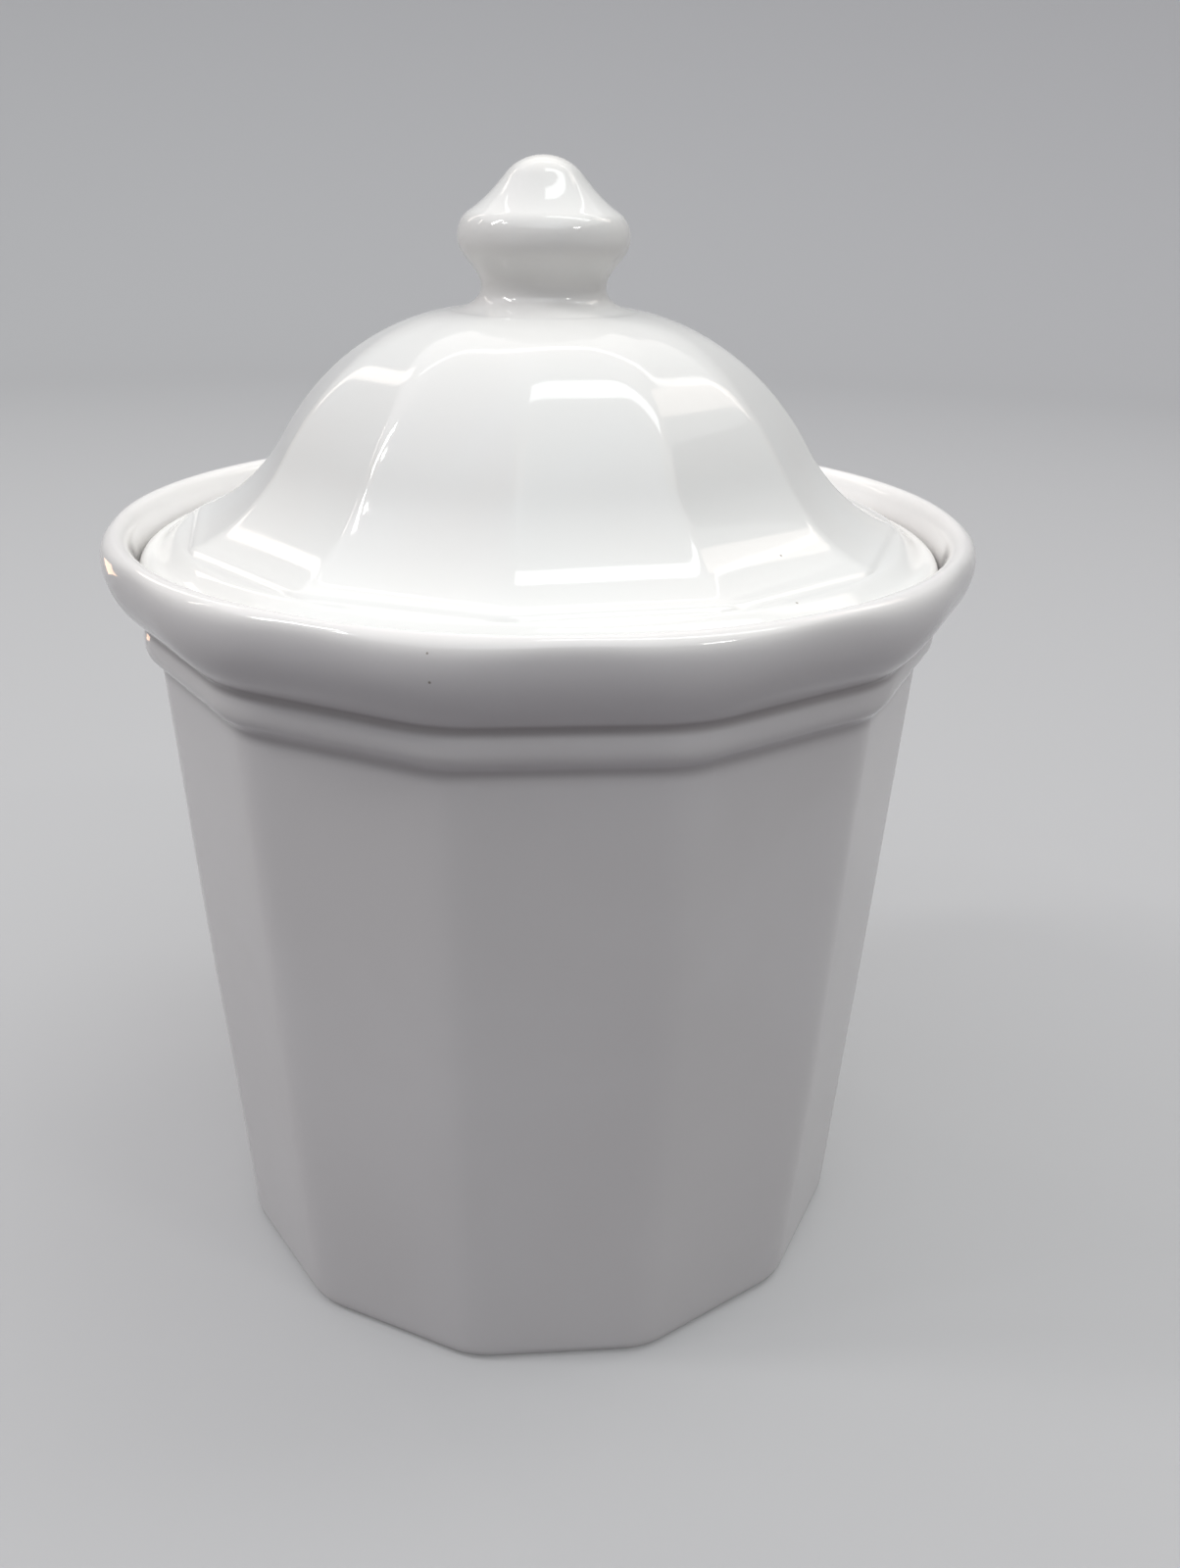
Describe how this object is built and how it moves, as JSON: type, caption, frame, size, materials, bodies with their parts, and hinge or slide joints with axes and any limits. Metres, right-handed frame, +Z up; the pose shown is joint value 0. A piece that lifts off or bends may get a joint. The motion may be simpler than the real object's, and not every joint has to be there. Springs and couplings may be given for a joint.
{
  "type": "kitchen canister",
  "caption": "Faceted white stoneware canister with a beaded, flared rim and a lift-off domed lid with a bell-shaped knob, for keeping dry goods in a kitchen.",
  "frame": {"origin": "centre of the foot ring, on the surface that the jar stands on", "axes": "+Z up along the axis of the jar and the lid, -Y the front, where a flat of the wall faces"},
  "size_m": [0.1782, 0.1782, 0.2361],
  "materials": {
    "jar_glaze": "gloss",
    "lid_glaze": "gloss",
    "knob_glaze": "gloss",
    "seal_rubber": "satin"
  },
  "bodies": {
    "jar": {"canister_body": "jar_glaze"},
    "seal": {"lid_seal": "seal_rubber"},
    "lid": {"lid": "lid_glaze", "lid_knob": "knob_glaze"}
  },
  "joints": [
    {"name": "lid_lift", "type": "slide", "parent": "jar", "child": "seal", "axis": [0, 0, 1], "range_m": [0, 0.1]},
    {"name": "lid_turn", "type": "hinge", "parent": "seal", "child": "lid", "pos_m": [0, 0, 0.152], "axis": [0, 0, 1], "continuous": true}
  ]
}
